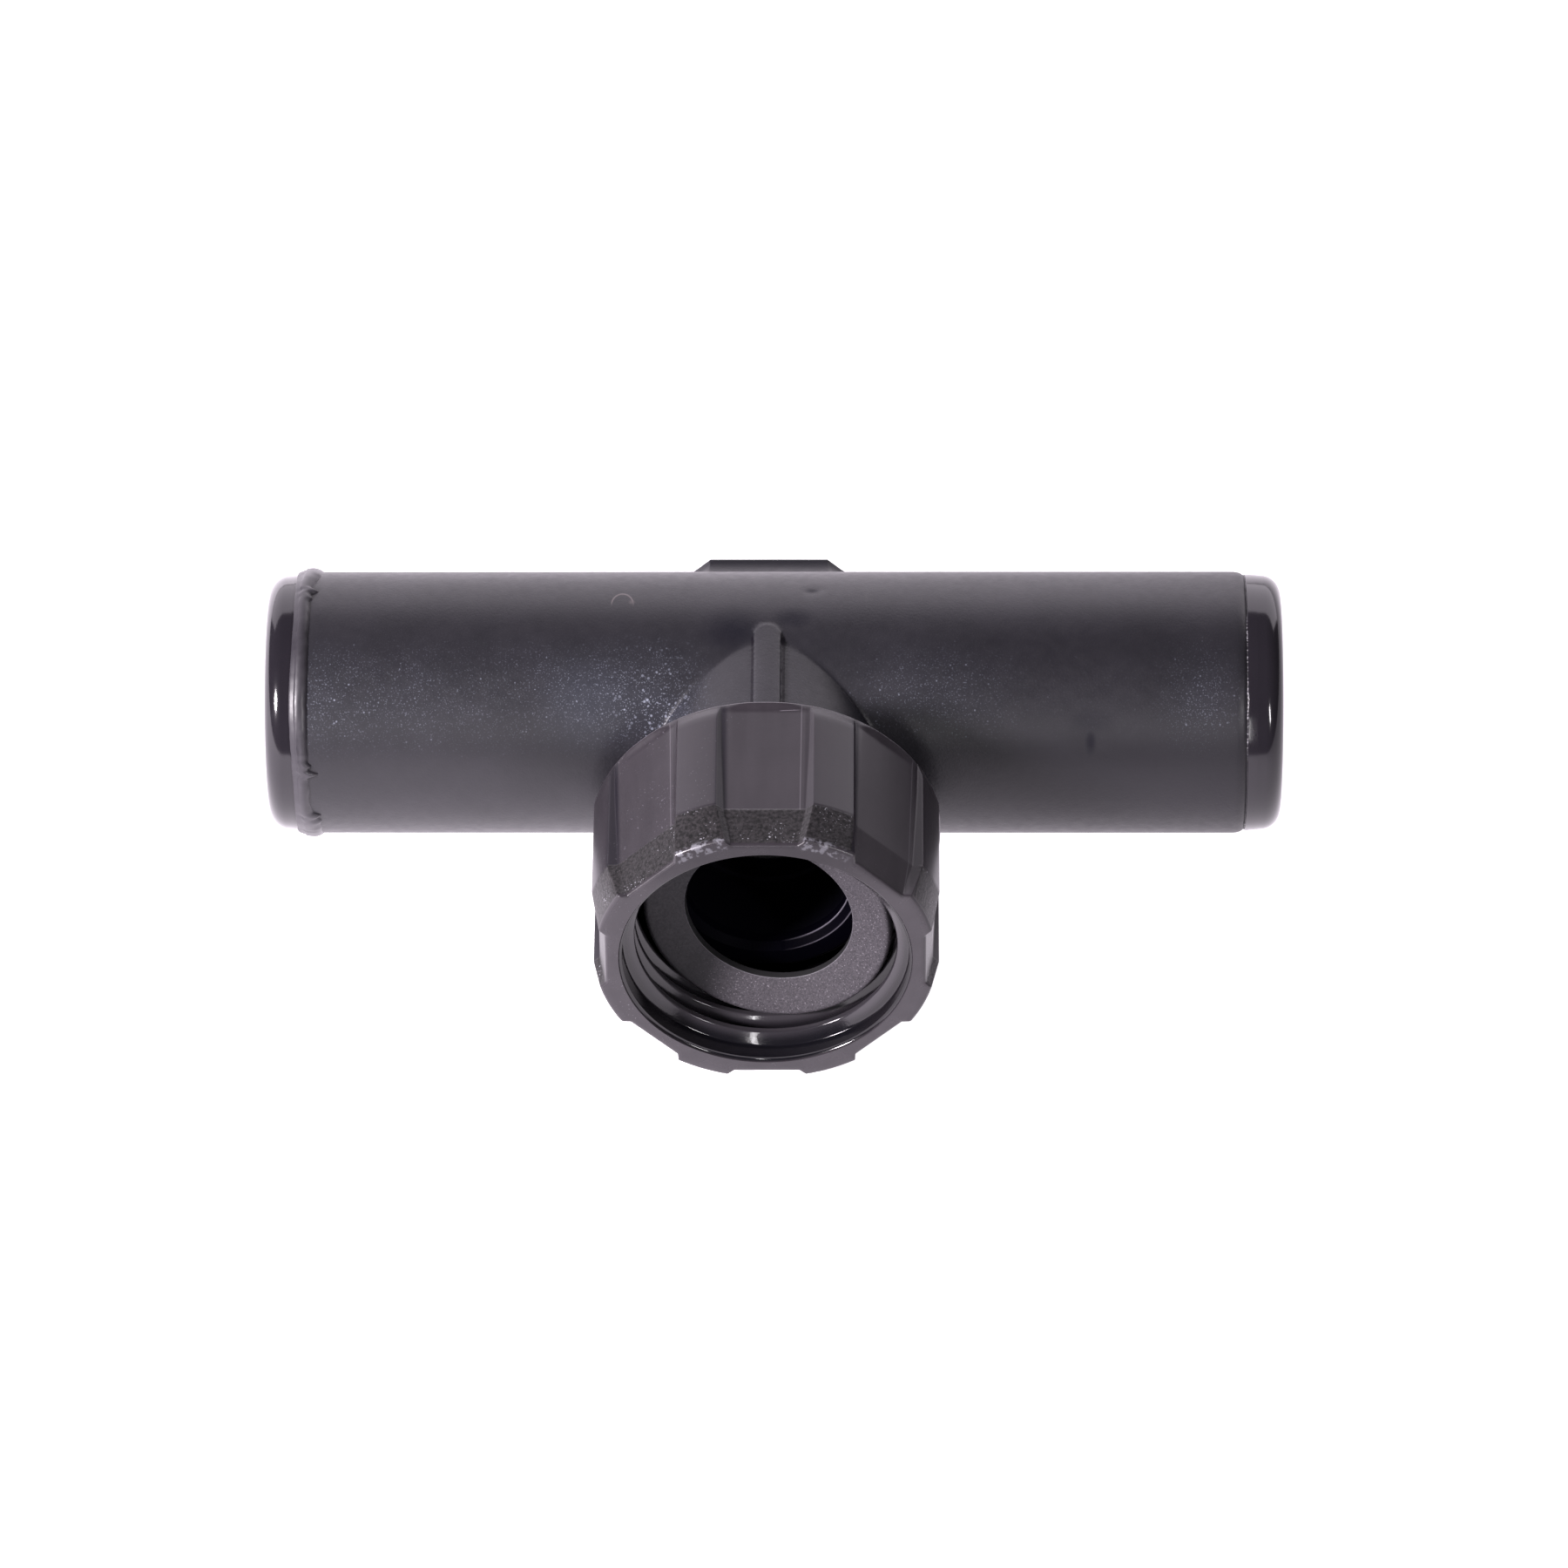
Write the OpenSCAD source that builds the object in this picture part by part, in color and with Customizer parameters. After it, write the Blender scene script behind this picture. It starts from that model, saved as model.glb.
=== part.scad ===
// Compression swivel tee for drip irrigation tubing.
// A straight run takes a length of plain tubing in each end. A branch at right
// angles carries a captive swivel nut with a 3/4 inch garden hose thread and a
// flat rubber washer. The run lies along X, the branch points along -Y and the
// origin is where the two axes cross.

/* [Run tube] */
// Outside diameter of the run
run_od = 25.4; // [24.6:0.1:26.5]
// Distance from the branch axis to the left weld joint
run_left = 45.0; // [38:0.1:60]
// Distance from the branch axis to the right weld joint
run_right = 46.25; // [38:0.05:60]
// Diameter of the passage between the tube stops
waterway_d = 16.6; // [14:0.1:17]
// Distance from the branch axis to each tube stop
tube_stop = 14.0; // [10:0.5:18]
// Diameter of the chamber that the tubing end sits in
chamber_d = 18.6; // [18.2:0.1:19.2]
// Diameter of the recess that each ring is welded into
recess_d = 21.8; // [21.6:0.1:22.6]
// Depth of that recess
recess_depth = 9.1; // [8:0.1:12]
// Height of the weld bead left standing round the left end
bead_height = 0.35; // [0.1:0.05:0.6]
// Width of the weld bead on the run
bead_width = 1.9; // [1:0.1:3]

/* [Compression rings] */
// Outside diameter of a ring's nose at its weld joint
ring_od = 24.8; // [24.0:0.1:25.2]
// Length of the nose outside the run
nose_len = 3.45; // [2.5:0.05:6]
// Rounding of the nose's outer edge
nose_round = 1.55; // [0.8:0.05:1.8]
// Diameter of the throat that squeezes the tubing
throat_d = 17.5; // [16:0.1:17.8]
// Length of the straight throat
throat_len = 3.0; // [2:0.1:4]

/* [Branch] */
// Outside diameter of the branch shoulder
shoulder_d = 24.2; // [22:0.1:24.6]
// Distance from the run axis to the end of the shoulder
shoulder_end = 16.5; // [14:0.1:16.8]
// Diameter of the neck that the nut turns on
neck_d = 19.8; // [19:0.1:20]
// Diameter of the flange that keeps the nut on
flange_d = 22.2; // [21:0.1:23]
// Distance from the run axis to the back of the flange
flange_back = 23.2; // [22:0.1:24]
// Distance from the run axis to the sealing face of the spud
spud_face = 25.4; // [25:0.1:25.6]
// Diameter of the branch passage at the sealing face
branch_bore_d = 16.0; // [14:0.1:16.4]
// Diameter of the branch passage where it meets the run
branch_port_d = 10.8; // [8:0.1:11]
// Width of the rib along the shoulder
rib_w = 2.6; // [1.5:0.1:4]
// Height of the rib above the branch axis
rib_top = 12.65; // [12.3:0.05:12.7]

/* [Back pad] */
// Distance from the run axis to the flat back of the pad
pad_back = 13.6; // [13.2:0.1:16]
// Width of the pad
pad_w = 14.9; // [10:0.1:18]
// Height of the pad
pad_h = 13.0; // [10:0.1:16]
// Size of the pad's corner chamfers
pad_corner = 1.7; // [0.5:0.1:3]

/* [Swivel nut] */
// Distance from the run axis to the back of the nut
nut_back = 17.1; // [17:0.05:17.3]
// Distance from the run axis to the front of the nut
nut_front = 35.2; // [34.5:0.1:37]
// Diameter over the back edge of the nut
nut_back_d = 33.5; // [33:0.1:36]
// Diameter over the grip ribs
nut_rib_d = 34.3; // [34:0.1:37]
// Distance across two opposite flats at the front face
nut_front_af = 30.4; // [30:0.1:31.5]
// Distance across two opposite flats where the front chamfer starts
nut_mid_af = 31.7; // [31:0.1:32.5]
// Thickness of the wall that bears on the flange
lip_t = 2.5; // [2:0.1:3]
// Diameter of the hole in that wall
lip_hole_d = 20.5; // [20.2:0.1:21]
// Root diameter of the hose thread
thread_major = 27.3; // [27:0.1:27.6]
// Crest diameter of the hose thread
thread_minor = 25.0; // [24.8:0.1:25.3]
// Thread pitch, 11.5 turns to the inch
thread_pitch = 2.209; // [2.209]
// Depth of the first thread crest behind the front face
thread_start = 2.45; // [2.2:0.05:3]

/* [Hose washer] */
// Outside diameter of the washer
washer_od = 24.0; // [23:0.1:24.2]
// Hole diameter of the washer
washer_id = 16.2; // [15.5:0.1:17]
// Thickness of the washer at its rim
washer_t = 2.4; // [2:0.1:2.5]
// Depth of the cupped front face
washer_cup = 1.2; // [0:0.1:1.4]
// Sideways tilt of the loose washer in the thread, in degrees
washer_tilt = 10.2; // [8:0.1:10.4]
// Lean of its lower edge towards the mouth, in degrees
washer_lean = 4.4; // [0:0.1:4.6]

/* [Hidden] */
$fn = 120;
eps = 0.01;
run_r = run_od / 2;
rib_crown_r = 5;
rib_end = 2.1;
n_flats = 8;
chamfer_start_flat = nut_front - 4.1;
chamfer_start_rib = nut_front - 4.4;
thread_turns = 4;
washer_front = 30.0;

// points of a circular arc, for rounded profiles
function arc(cx, cy, r, a0, a1, n = 12) =
    [for (i = [0:n]) let (a = a0 + (a1 - a0) * i / n) [cx + r * cos(a), cy + r * sin(a)]];

// +Z of the child becomes +X
module along_run() { rotate([0, 90, 0]) children(); }
// +Z of the child becomes -Y
module along_branch() { rotate([90, 0, 0]) children(); }

// ---- tee body ---------------------------------------------------------

module run_outside() {
    along_run() rotate_extrude() polygon([
        [0, -run_left], [run_r, -run_left],
        [run_r, run_right - 0.25], [run_r - 0.25, run_right], [0, run_right]]);
}

// half-round weld bead that was squeezed out round the left end
module left_bead() {
    along_run() rotate_extrude() polygon(concat(
        [[run_r - 0.4, -run_left]],
        [for (i = [0:12]) let (a = 90 * i / 12)
            [run_r + bead_height * cos(a * 1.0), -run_left + bead_width * sin(a)]],
        [[run_r - 0.4, -run_left + bead_width]]));
}

module branch_outside() {
    along_branch() {
        cylinder(d = shoulder_d, h = shoulder_end);
        cylinder(d = neck_d, h = spud_face - 0.5);
        rotate_extrude() polygon([
            [0, flange_back], [flange_d / 2, flange_back],
            [flange_d / 2, spud_face - 0.9], [flange_d / 2 - 0.9, spud_face], [0, spud_face]]);
    }
}

// crowned ribs down the top and the underside of the shoulder
module shoulder_ribs() {
    for (s = [0, 1]) mirror([0, 0, s]) intersection() {
        // the end on the run is rounded
        translate([0, 0, 8]) linear_extrude(rib_top - 8) union() {
            translate([-rib_w / 2, -shoulder_end]) square([rib_w, shoulder_end - rib_end - rib_w / 2]);
            translate([0, -rib_end - rib_w / 2]) circle(d = rib_w);
        }
        translate([0, 0, rib_top - rib_crown_r]) along_branch()
            translate([0, 0, -1]) cylinder(r = rib_crown_r, h = shoulder_end + 2);
    }
}

// chamfered pad on the back of the run, opposite the branch
module back_pad() {
    a = pad_w / 2; b = pad_h / 2; c = pad_corner;
    rotate([-90, 0, 0]) translate([0, 0, 8]) linear_extrude(pad_back - 8)
        polygon([[-a, -b + c], [-a + c, -b], [a - c, -b], [a, -b + c],
                 [a, b - c], [a - c, b], [-a + c, b], [-a, b - c]]);
}

module run_bore() {
    along_run() {
        translate([0, 0, -run_left - 1]) cylinder(d = recess_d, h = recess_depth + 1);
        translate([0, 0, -run_left]) cylinder(d = chamber_d, h = run_left - tube_stop);
        translate([0, 0, -tube_stop - 1]) cylinder(d = waterway_d, h = 2 * tube_stop + 2);
        translate([0, 0, tube_stop]) cylinder(d = chamber_d, h = run_right - tube_stop);
        translate([0, 0, run_right - recess_depth]) cylinder(d = recess_d, h = recess_depth + 1);
    }
}

module branch_bore() {
    along_branch() rotate_extrude() polygon([
        [0, 0], [branch_port_d / 2, 0], [branch_port_d / 2, 13],
        [branch_bore_d / 2 - 0.6, 14.2], [branch_bore_d / 2 - 0.6, 19.5], [branch_bore_d / 2, 19.8],
        [branch_bore_d / 2, spud_face - 0.8], [branch_bore_d / 2 + 0.9, spud_face + eps],
        [branch_bore_d / 2 + 0.9, spud_face + 1], [0, spud_face + 1]]);
}

module tee_body() {
    color([0.13, 0.13, 0.15]) difference() {
        union() {
            run_outside();
            left_bead();
            branch_outside();
            shoulder_ribs();
            back_pad();
        }
        run_bore();
        branch_bore();
    }
}

// ---- compression rings ------------------------------------------------

// A ring along +Z, with its weld joint at z = 0 and its nose pointing up.
// lip is the height of the weld bead that stands round the joint.
module ring_profile(lip) {
    r = ring_od / 2; n = nose_round; t = throat_d / 2; s = recess_d / 2 - 0.02;
    base = lip > 0
        ? [for (i = [0:8]) let (a = 90 * i / 8)
              [r - 0.05 + (run_r + lip - r) * cos(a), 0.6 * sin(a)]]
        : [[r, 0]];
    polygon(concat(
        [[s, 0]], base,
        arc(r - 0.1 - n, nose_len - n, n, 0, 90),
        arc(r - 0.1 - n - 0.35, nose_len - 0.5, 0.5, 90, 150, 5),
        [[t + 0.3, 0.8], [t, -0.4], [t, -0.4 - throat_len], [chamber_d / 2, -1.4 - throat_len],
         [chamber_d / 2, -recess_depth + 0.1], [s - 0.5, -recess_depth + 0.1], [s, -recess_depth + 0.6]]));
}

module compression_ring(lip = 0) { rotate_extrude() ring_profile(lip); }

module left_compression_ring() {
    color([0.07, 0.07, 0.08]) mirror([1, 0, 0]) translate([run_left, 0, 0])
        along_run() compression_ring(bead_height);
}

module right_compression_ring() {
    color([0.07, 0.07, 0.08]) translate([run_right, 0, 0])
        along_run() compression_ring(0);
}

// ---- swivel nut -------------------------------------------------------

// a slab whose inner face runs through (r0, z0) and (r1, z1)
module flat_cutter(r0, z0, r1, z1) {
    a = atan2(r1 - r0, z1 - z0);
    translate([r0, 0, z0]) rotate([0, a, 0]) translate([0, -9, -25]) cube([12, 18, 60]);
}

module grip_rib() {
    linear_extrude(nut_front + 1) polygon([[14.4, -3.32], [18.2, -1.5], [18.2, 1.5], [14.4, 3.32]]);
}

module nut_envelope() {
    rotate_extrude() polygon([
        [0, nut_back], [nut_back_d / 2 - 0.25, nut_back], [nut_back_d / 2, nut_back + 0.3],
        [nut_rib_d / 2, nut_back + 1.6],
        [nut_rib_d / 2, chamfer_start_rib], [nut_front_af / 2 + 1.0, nut_front], [0, nut_front]]);
}

module nut_outside() {
    intersection() {
        nut_envelope();
        union() {
            difference() {
                cylinder(d = nut_back_d, h = nut_front + 1);
                for (k = [0:n_flats - 1]) rotate([0, 0, 360 / n_flats * k]) {
                    flat_cutter(nut_back_d / 2, nut_back, nut_mid_af / 2, chamfer_start_flat);
                    flat_cutter(nut_mid_af / 2, chamfer_start_flat, nut_front_af / 2, nut_front);
                }
            }
            for (k = [0:n_flats - 1]) rotate([0, 0, 360 / n_flats * (k + 0.5)]) grip_rib();
        }
    }
}

module thread_crest(z) {
    a = thread_minor / 2; b = thread_major / 2 + 0.1; h = (b - a) * tan(30);
    translate([0, 0, z]) rotate_extrude()
        polygon([[a, -0.3], [a, 0.3], [b, 0.3 + h], [b, -0.3 - h]]);
}

module nut_cavity() {
    m = thread_major / 2; l = lip_hole_d / 2;
    rotate_extrude() polygon([
        [0, nut_back - 1], [l + 0.35, nut_back - 1], [l + 0.35, nut_back], [l, nut_back + 0.35],
        [l, nut_back + lip_t - 0.3], [l + 0.3, nut_back + lip_t],
        [m - 0.4, nut_back + lip_t], [m, nut_back + lip_t + 0.4],
        [m, nut_front - 0.3], [m + 0.25, nut_front], [m + 0.25, nut_front + 1], [0, nut_front + 1]]);
}

module swivel_nut() {
    color([0.2, 0.19, 0.2]) along_branch() {
        difference() { nut_outside(); nut_cavity(); }
        for (k = [0:thread_turns - 1]) thread_crest(nut_front - thread_start - k * thread_pitch);
    }
}

// ---- hose washer ------------------------------------------------------

// The washer is loose: one side has caught in the thread, so it lies tilted.
// Its front face is cupped, so the hole sits deeper than the rim.
module hose_washer() {
    o = washer_od / 2; i = washer_id / 2;
    color([0.24, 0.23, 0.25])
    translate([0, -washer_front, 0]) rotate([0, 0, -washer_tilt]) rotate([-washer_lean, 0, 0]) along_branch()
        rotate_extrude() polygon(concat(
            arc(i + 0.2, -washer_cup - 0.2, 0.2, 180, 108, 4),
            arc(o - 0.4, -0.4, 0.4, 108, 0, 5),
            arc(o - 0.3, -washer_t + 0.3, 0.3, 0, -90, 4),
            arc(i + 0.3, -washer_t + 0.3, 0.3, -90, -180, 4)));
}

tee_body();
left_compression_ring();
right_compression_ring();
swivel_nut();
hose_washer();
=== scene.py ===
"""Looks of the compression swivel tee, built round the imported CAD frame. Lengths in the geometry code are millimetres."""

import math

import bmesh
import bpy
import numpy as np
from mathutils import Matrix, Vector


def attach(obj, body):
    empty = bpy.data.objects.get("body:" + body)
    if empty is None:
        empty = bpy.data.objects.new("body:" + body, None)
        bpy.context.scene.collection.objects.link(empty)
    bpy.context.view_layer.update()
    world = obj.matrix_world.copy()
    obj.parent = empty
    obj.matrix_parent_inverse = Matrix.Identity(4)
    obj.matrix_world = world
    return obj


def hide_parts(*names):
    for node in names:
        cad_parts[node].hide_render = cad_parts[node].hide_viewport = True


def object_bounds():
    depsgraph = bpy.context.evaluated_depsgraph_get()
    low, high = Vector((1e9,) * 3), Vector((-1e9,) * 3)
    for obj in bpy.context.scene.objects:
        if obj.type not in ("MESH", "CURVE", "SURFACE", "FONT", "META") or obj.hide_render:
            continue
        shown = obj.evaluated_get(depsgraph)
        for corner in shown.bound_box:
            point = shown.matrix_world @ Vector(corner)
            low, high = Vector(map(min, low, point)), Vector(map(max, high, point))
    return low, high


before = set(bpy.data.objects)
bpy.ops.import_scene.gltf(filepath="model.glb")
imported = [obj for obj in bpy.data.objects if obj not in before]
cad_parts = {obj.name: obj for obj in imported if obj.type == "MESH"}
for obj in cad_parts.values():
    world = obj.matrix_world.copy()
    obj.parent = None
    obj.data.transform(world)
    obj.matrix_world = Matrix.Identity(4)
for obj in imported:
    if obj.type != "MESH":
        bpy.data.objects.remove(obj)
cad_lo, cad_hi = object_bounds()
MM = 0.001
TAU = 2 * math.pi

# ---- sizes shared with the CAD source ---------------------------------

RUN_R, RUN_L, RUN_E = 12.7, 45.0, 46.25
SHOULDER_R, SHOULDER_END = 12.1, 16.5
NECK_R, FLANGE_R, FLANGE_BACK, SPUD_FACE = 9.9, 11.1, 23.2, 25.4
NUT_BACK, NUT_FRONT = 17.1, 35.2
PITCH = 2.209
CREST_AT = 32.9  # depth of the first crest on the +X side
MAJOR_R, MINOR_R = 13.65, 12.5


# ---- mesh helpers -----------------------------------------------------


def make_object(name, verts, faces, sharp=38.0, merge=2e-4):
    """A closed mesh from millimetre points, outward normals, smooth but for edges over the sharp angle."""
    me = bpy.data.meshes.new(name)
    me.from_pydata(np.asarray(verts, float).tolist(), [], faces)
    bm = bmesh.new()
    bm.from_mesh(me)
    bmesh.ops.remove_doubles(bm, verts=bm.verts, dist=merge)
    bmesh.ops.dissolve_degenerate(bm, dist=merge, edges=bm.edges)
    bmesh.ops.recalc_face_normals(bm, faces=bm.faces)
    if bm.calc_volume(signed=True) < 0:
        bmesh.ops.reverse_faces(bm, faces=bm.faces)
    bm.to_mesh(me)
    bm.free()
    me.transform(Matrix.Scale(MM, 4))
    ob = bpy.data.objects.new(name, me)
    bpy.context.scene.collection.objects.link(ob)
    finish_shading(ob, sharp)
    return ob


def finish_shading(ob, sharp=38.0):
    ob.data.shade_smooth()
    ob.data.set_sharp_from_angle(angle=math.radians(sharp))


def rounded(points, seg=5, closed=True):
    """Polygon points (u, v, radius) with each corner of radius > 0 turned into an arc of seg steps."""
    out = []
    n = len(points)
    for i in range(n):
        p1, r = np.array(points[i][:2], float), points[i][2]
        if r <= 0 or (not closed and i in (0, n - 1)):
            out.append(p1)
            continue
        p0 = np.array(points[i - 1][:2], float)
        p2 = np.array(points[(i + 1) % n][:2], float)
        la, lb = np.linalg.norm(p0 - p1), np.linalg.norm(p2 - p1)
        a, b = (p0 - p1) / la, (p2 - p1) / lb
        ang = math.acos(max(-1.0, min(1.0, float(a @ b))))
        if ang > math.pi - 1e-3:
            out += [p1] * (seg + 1)
            continue
        t = min(r / math.tan(ang / 2), 0.48 * min(la, lb))
        r = t * math.tan(ang / 2)
        c = p1 + (a + b) / np.linalg.norm(a + b) * (r / math.sin(ang / 2))
        va, vb = p1 + a * t - c, p1 + b * t - c
        th = math.pi - ang
        for k in range(seg + 1):
            w = k / seg
            out.append(c + (math.sin((1 - w) * th) * va + math.sin(w * th) * vb) / math.sin(th))
    return np.array(out)


def grid_faces(m, n, close_rows=True):
    idx = np.arange(m * n).reshape(m, n)
    nxt = np.roll(idx, -1, 0)
    if not close_rows:
        idx, nxt = idx[:-1], nxt[:-1]
    f = np.stack([idx, np.roll(idx, -1, 1), np.roll(nxt, -1, 1), nxt], -1)
    return f.reshape(-1, 4).tolist()


def turned(profile, n, axis):
    """Points of a turned shape. profile is (position along the axis, radius); axis is 'x' or '-y'."""
    p = np.asarray(profile, float)
    t = np.arange(n) * TAU / n
    a, r = p[:, 0][:, None], p[:, 1][:, None]
    c, s = np.cos(t)[None], np.sin(t)[None]
    one = np.ones_like(c)
    if axis == "x":
        return np.stack([a * one, r * c, r * s], -1)
    return np.stack([r * c, -a * one, r * s], -1)


def turned_object(name, profile, n, axis, sharp=38.0):
    g = turned(profile, n, axis)
    return make_object(name, g.reshape(-1, 3), grid_faces(*g.shape[:2]), sharp)


def boolean(ob, other, how):
    """Joins or cuts ob with other, which is used up."""
    mod = ob.modifiers.new("op", "BOOLEAN")
    mod.operation = how
    mod.solver = "MANIFOLD"
    mod.object = other
    dg = bpy.context.evaluated_depsgraph_get()
    me = bpy.data.meshes.new_from_object(ob.evaluated_get(dg))
    ob.modifiers.clear()
    old = ob.data
    ob.data = me
    bpy.data.meshes.remove(old)
    bpy.data.objects.remove(other)


def smooth_noise(t, seed, waves=((3, 0.5), (7, 0.35), (13, 0.25), (23, 0.2))):
    """A wavy function of an angle, about -1 to 1, the same each run."""
    rng = np.random.RandomState(seed)
    v = 0.0
    for f, a in waves:
        v = v + a * np.sin(f * t + rng.uniform(0, TAU))
    return v


def step(x, a, b):
    t = np.clip((x - a) / (b - a), 0, 1)
    return t * t * (3 - 2 * t)


# ---- tee body: a surface drawn round a distance field ------------------


def smin(a, b, k):
    h = np.maximum(k - np.abs(a - b), 0) / k
    return np.minimum(a, b) - h * h * k / 4


def smax(a, b, k):
    return -smin(-a, -b, k)


def tee_field(p):
    """Distance to the outside of the tee, negative within."""
    x, y, z = p[..., 0], p[..., 1], p[..., 2]
    az, ax = np.abs(z), np.abs(x)
    rr = np.hypot(y, z)
    run = rr - RUN_R
    # moulding sinks and one dent
    for cx, cy, cz, depth, wide in (
        (4.2, 2.55, 12.44, 0.10, 0.7),
        (5.1, 2.9, 12.36, 0.07, 0.5),
        (31.1, -11.55, 5.3, 0.12, 0.9),
    ):
        run = run + depth * np.exp(-((x - cx) ** 2 + (y - cy) ** 2 + (z - cz) ** 2) / wide**2)
    shoulder = smax(np.hypot(x, z) - SHOULDER_R, -y - SHOULDER_END, 0.7)
    shoulder = np.maximum(shoulder, y)
    # a round-topped rib whose upper end on the run is rounded too
    plan = np.where(y > -3.4, np.hypot(x, y + 3.4) - 1.31, ax - 1.31)
    rib = smax(smax(plan, np.hypot(x, az - 7.65) - 5.0, 0.2), -y - SHOULDER_END + 0.05, 0.4)
    rib = np.maximum(rib, 6.0 - az)
    shoulder = smin(shoulder, rib, 0.06)
    # the shut-off lines of the rib's slide leave a narrow groove on each side
    for gx, gz, gr in ((1.58, 12.1, 0.2), (-1.44, 12.12, 0.12)):
        shoulder = smax(shoulder, gr - np.hypot(x - gx, az - gz), 0.12)
    pad = np.maximum(np.maximum(ax - 7.45, az - 6.5), (ax + az - 12.25) / math.sqrt(2))
    pad = smax(pad, y - 13.6, 0.35)
    pad = np.maximum(pad, 6.0 - y)
    f = smin(run, shoulder, 0.16)
    f = smin(f, pad, 1.9)
    f = smax(f, y - 13.6, 0.3)
    f = np.maximum(f, np.maximum(-x - RUN_L, x - RUN_E))
    # the run's right end rolls over into the weld joint
    ex, er = np.maximum(x - RUN_E + 1.2, 0) / 1.2, np.maximum(rr - RUN_R + 0.6, 0) / 0.6
    f = np.maximum(f, np.where(ex > 0, (np.hypot(ex, er) - 1) * 0.6, -9.0))
    return np.maximum(f, 7.0 - rr)


def gradient(field, p, h=0.004):
    g = np.empty_like(p)
    for k in range(3):
        d = np.zeros(3)
        d[k] = h
        g[..., k] = (field(p + d) - field(p - d)) / (2 * h)
    return g / np.maximum(np.linalg.norm(g, axis=-1, keepdims=True), 1e-9)


def contour(field, xs, ts, rs):
    """Dual contouring on a grid that is cylindrical round the X axis: quads that keep the field's sharp edges."""
    nx, nt, nr = len(xs), len(ts), len(rs)
    c, s = np.cos(ts), np.sin(ts)
    X, C, R = np.broadcast_arrays(xs[:, None, None], c[None, :, None], rs[None, None, :])
    S = np.broadcast_to(s[None, :, None], X.shape)
    pos = np.stack([X, R * C, R * S], -1)
    val = field(pos)
    ins = val < 0
    cell_i, nrm, pts, quads, flips = [], [], [], [], []

    def cell_id(i, j, k):
        return (i * nt + (j % nt)) * nr + k

    for axis in range(3):
        if axis == 0:
            a, b = ins[:-1], ins[1:]
        elif axis == 1:
            a, b = ins, np.roll(ins, -1, 1)
        else:
            a, b = ins[:, :, :-1], ins[:, :, 1:]
        i, j, k = np.nonzero(a != b)
        di = (1, 0, 0) if axis == 0 else (0, 1, 0) if axis == 1 else (0, 0, 1)
        i2, j2, k2 = i + di[0], (j + di[1]) % nt, k + di[2]
        p0, p1 = pos[i, j, k], pos[i2, j2, k2]
        v0, v1 = val[i, j, k], val[i2, j2, k2]
        lo, hi = np.zeros(len(i)), np.ones(len(i))
        w = v0 / (v0 - v1)
        for _ in range(5):
            p = p0 + (p1 - p0) * w[:, None]
            v = field(p)
            same = (v < 0) == (v0 < 0)
            lo = np.where(same, w, lo)
            hi = np.where(same, hi, w)
            w = 0.5 * (lo + hi)
        p = p0 + (p1 - p0) * w[:, None]
        n = gradient(field, p)
        if axis == 0:
            cells = [cell_id(i, j - 1, k - 1), cell_id(i, j, k - 1), cell_id(i, j, k), cell_id(i, j - 1, k)]
        elif axis == 1:
            cells = [cell_id(i - 1, j, k - 1), cell_id(i - 1, j, k), cell_id(i, j, k), cell_id(i, j, k - 1)]
        else:
            cells = [cell_id(i - 1, j - 1, k), cell_id(i, j - 1, k), cell_id(i, j, k), cell_id(i - 1, j, k)]
        q = np.stack(cells, -1)
        q = np.where((v0 < 0)[:, None], q, q[:, ::-1])
        quads.append(q)
        for cc in cells:
            cell_i.append(cc)
            nrm.append(n)
            pts.append(p)
    q = np.concatenate(quads)
    ci = np.concatenate(cell_i)
    n = np.concatenate(nrm)
    p = np.concatenate(pts)
    ids, inv = np.unique(ci, return_inverse=True)
    m = len(ids)
    cnt = np.bincount(inv, minlength=m).astype(float)
    mean = np.stack([np.bincount(inv, p[:, a], m) for a in range(3)], -1) / cnt[:, None]
    off = np.einsum("ij,ij->i", n, p - mean[inv])
    ata = np.empty((m, 3, 3))
    atb = np.empty((m, 3))
    for a in range(3):
        atb[:, a] = np.bincount(inv, n[:, a] * off, m)
        for b in range(3):
            ata[:, a, b] = np.bincount(inv, n[:, a] * n[:, b], m)
    ata += np.eye(3) * (0.02 * cnt)[:, None, None]
    move = np.linalg.solve(ata, atb[..., None])[..., 0]
    size = np.linalg.norm(move, axis=-1)
    move *= np.minimum(1, 0.45 / np.maximum(size, 1e-9))[:, None]
    v = mean + move
    for _ in range(2):
        d = field(v)
        v = v - gradient(field, v) * np.clip(d, -0.05, 0.05)[:, None]
    faces = np.searchsorted(ids, q)
    return v, faces


def spaced(stops):
    """Grid positions: (position, step from there on) pairs; the last position ends the list."""
    out = []
    for (a, h), (b, _) in zip(stops[:-1], stops[1:]):
        n = max(1, int(round((b - a) / h)))
        out += [a + (b - a) * i / n for i in range(n)]
    return np.array(out + [stops[-1][0]])


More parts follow.
